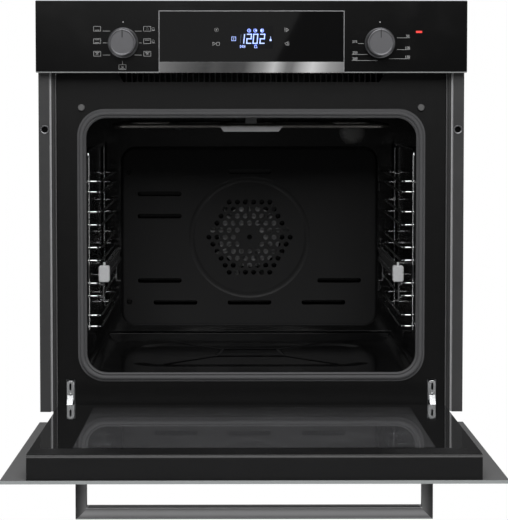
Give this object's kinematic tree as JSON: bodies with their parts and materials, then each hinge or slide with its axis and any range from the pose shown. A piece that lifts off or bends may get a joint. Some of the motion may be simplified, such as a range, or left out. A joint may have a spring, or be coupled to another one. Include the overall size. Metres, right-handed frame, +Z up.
{
  "type": "wall oven",
  "caption": "Built-in single wall oven with a drop-down glass door, bow handle, round dials, side racks, telescopic rails, fan cover and a working door hinge.",
  "frame": {"origin": "middle of the base's underside, in the plane of the frame round the oven mouth", "axes": "+X to the right seen from the front, +Y into the oven, +Z up"},
  "size_m": [0.595, 1.0303, 0.6343],
  "materials": {
    "casing_zinc": "zinc-coated sheet, dull spangle",
    "frame_enamel": "satin black enamel with a fine texture",
    "trim_paint": "dark grey powder coat",
    "cavity_enamel": "gloss black enamel with fine pale flecks",
    "cover_enamel": "satin dark grey enamel with fine flecks",
    "chrome_wire": "bright chrome",
    "rail_steel": "drawn stainless steel",
    "hinge_steel": "bright pressed steel",
    "heater_steel": "dark heat-tinted steel",
    "motor_steel": "plain steel",
    "fan_aluminium": "bright stamped aluminium",
    "handle_metal": "fine lengthwise brushing",
    "knob_metal": "dark turned metal with radial brushing",
    "band_metal": "polished band",
    "seal_rubber": "grey oven seal",
    "stop_rubber": "pale grey rubber stop",
    "black_glass": "black-printed tempered glass",
    "panel_glass": "dark grey glass panel",
    "screen": "black liquid-crystal screen",
    "clear_glass": "clear pane",
    "lamp_glass": "ribbed clear glass",
    "door_black": "satin black paint",
    "door_cap": "moulded black plastic",
    "louvre_black": "black moulded plastic",
    "cap_plastic": "pale grey moulded plastic",
    "grommet_chrome": "bright plated ring",
    "lamp_red": "red indicator lens",
    "board_green": "circuit board",
    "ceramic_white": "glazed ceramic",
    "glass_wool": "glass wool blanket",
    "control_plastic": "moulded switch body"
  },
  "bodies": {
    "casing": {"base_plate": "casing_zinc", "side_panels": "casing_zinc", "top_cover": "casing_zinc", "rear_cover": "casing_zinc", "partition_plate": "casing_zinc", "front_frame": "frame_enamel", "side_trims": "trim_paint", "trim_grommets": "grommet_chrome", "cavity_wrapper": "cavity_enamel", "cavity_back": "cavity_enamel", "insulation": "glass_wool", "door_gasket": "seal_rubber", "door_bumpers": "stop_rubber", "fan_cover": "cover_enamel", "cover_screws": "heater_steel", "fan_motor": "motor_steel", "ring_heater": "heater_steel", "grill_elements": "heater_steel", "element_bracket": "hinge_steel", "bottom_element": "heater_steel", "lamp_lens": "lamp_glass", "lamp_bulb": "lamp_glass", "lamp_socket": "ceramic_white", "side_racks": "chrome_wire", "fixed_rails": "rail_steel", "outlet_louvre": "louvre_black", "blower_housing": "casing_zinc", "blower_motor": "motor_steel", "control_fascia": "panel_glass", "display_trim": "band_metal", "display_glass": "panel_glass", "display_window": "screen", "accent_band": "band_metal", "fascia_carrier": "casing_zinc", "indicator_lamp": "lamp_red", "function_switch": "control_plastic", "thermostat": "control_plastic", "timer_board": "board_green", "terminal_block": "ceramic_white", "hinge_receivers": "casing_zinc", "hinge_arms": "hinge_steel"},
    "door": {"door_outer_glass": "black_glass", "door_middle_glass": "clear_glass", "door_inner_glass": "black_glass", "door_side_rails": "door_black", "door_bottom_rail": "door_black", "door_top_rail": "door_cap", "door_handle": "handle_metal", "hinge_channels": "hinge_steel", "hinge_springs": "hinge_steel"},
    "function_dial": {"function_knob": "knob_metal"},
    "temperature_dial": {"temperature_knob": "knob_metal"},
    "right_slider": {"slider_right": "rail_steel", "slider_cap_right": "cap_plastic"},
    "left_slider": {"slider_left": "rail_steel", "slider_cap_left": "cap_plastic"},
    "hot_air_fan": {"fan_wheel": "fan_aluminium"},
    "cooling_fan": {"blower_wheel": "fan_aluminium"},
    "right_lock": {"hinge_lever_right": "hinge_steel"},
    "left_lock": {"hinge_lever_left": "hinge_steel"}
  },
  "joints": [
    {"name": "door_hinge", "type": "hinge", "parent": "casing", "child": "door", "pos_m": [0, -0.0274, 0.0168], "axis": [1, 0, 0], "range_deg": [-88.8, 0]},
    {"name": "function_turn", "type": "hinge", "parent": "casing", "child": "function_dial", "pos_m": [-0.177, -0.055, 0.5367], "axis": [0, 1, 0], "continuous": true},
    {"name": "temperature_turn", "type": "hinge", "parent": "casing", "child": "temperature_dial", "pos_m": [0.177, -0.055, 0.5367], "axis": [0, 1, 0], "range_deg": [0, 270]},
    {"name": "right_rail_slide", "type": "slide", "parent": "casing", "child": "right_slider", "axis": [0, -1, 0], "range_m": [0, 0.25]},
    {"name": "left_rail_slide", "type": "slide", "parent": "casing", "child": "left_slider", "axis": [0, -1, 0], "range_m": [0, 0.25]},
    {"name": "hot_air_spin", "type": "hinge", "parent": "casing", "child": "hot_air_fan", "pos_m": [0, 0.405, 0.2377], "axis": [0, 1, 0], "continuous": true},
    {"name": "cooling_spin", "type": "hinge", "parent": "casing", "child": "cooling_fan", "pos_m": [0, 0.4, 0.5385], "axis": [1, 0, 0], "continuous": true},
    {"name": "right_lock_turn", "type": "hinge", "parent": "casing", "child": "right_lock", "pos_m": [0.255, 0.0035, 0.04], "axis": [1, 0, 0], "range_deg": [0, 55]},
    {"name": "left_lock_turn", "type": "hinge", "parent": "casing", "child": "left_lock", "pos_m": [-0.255, 0.0035, 0.04], "axis": [1, 0, 0], "range_deg": [0, 55]}
  ]
}
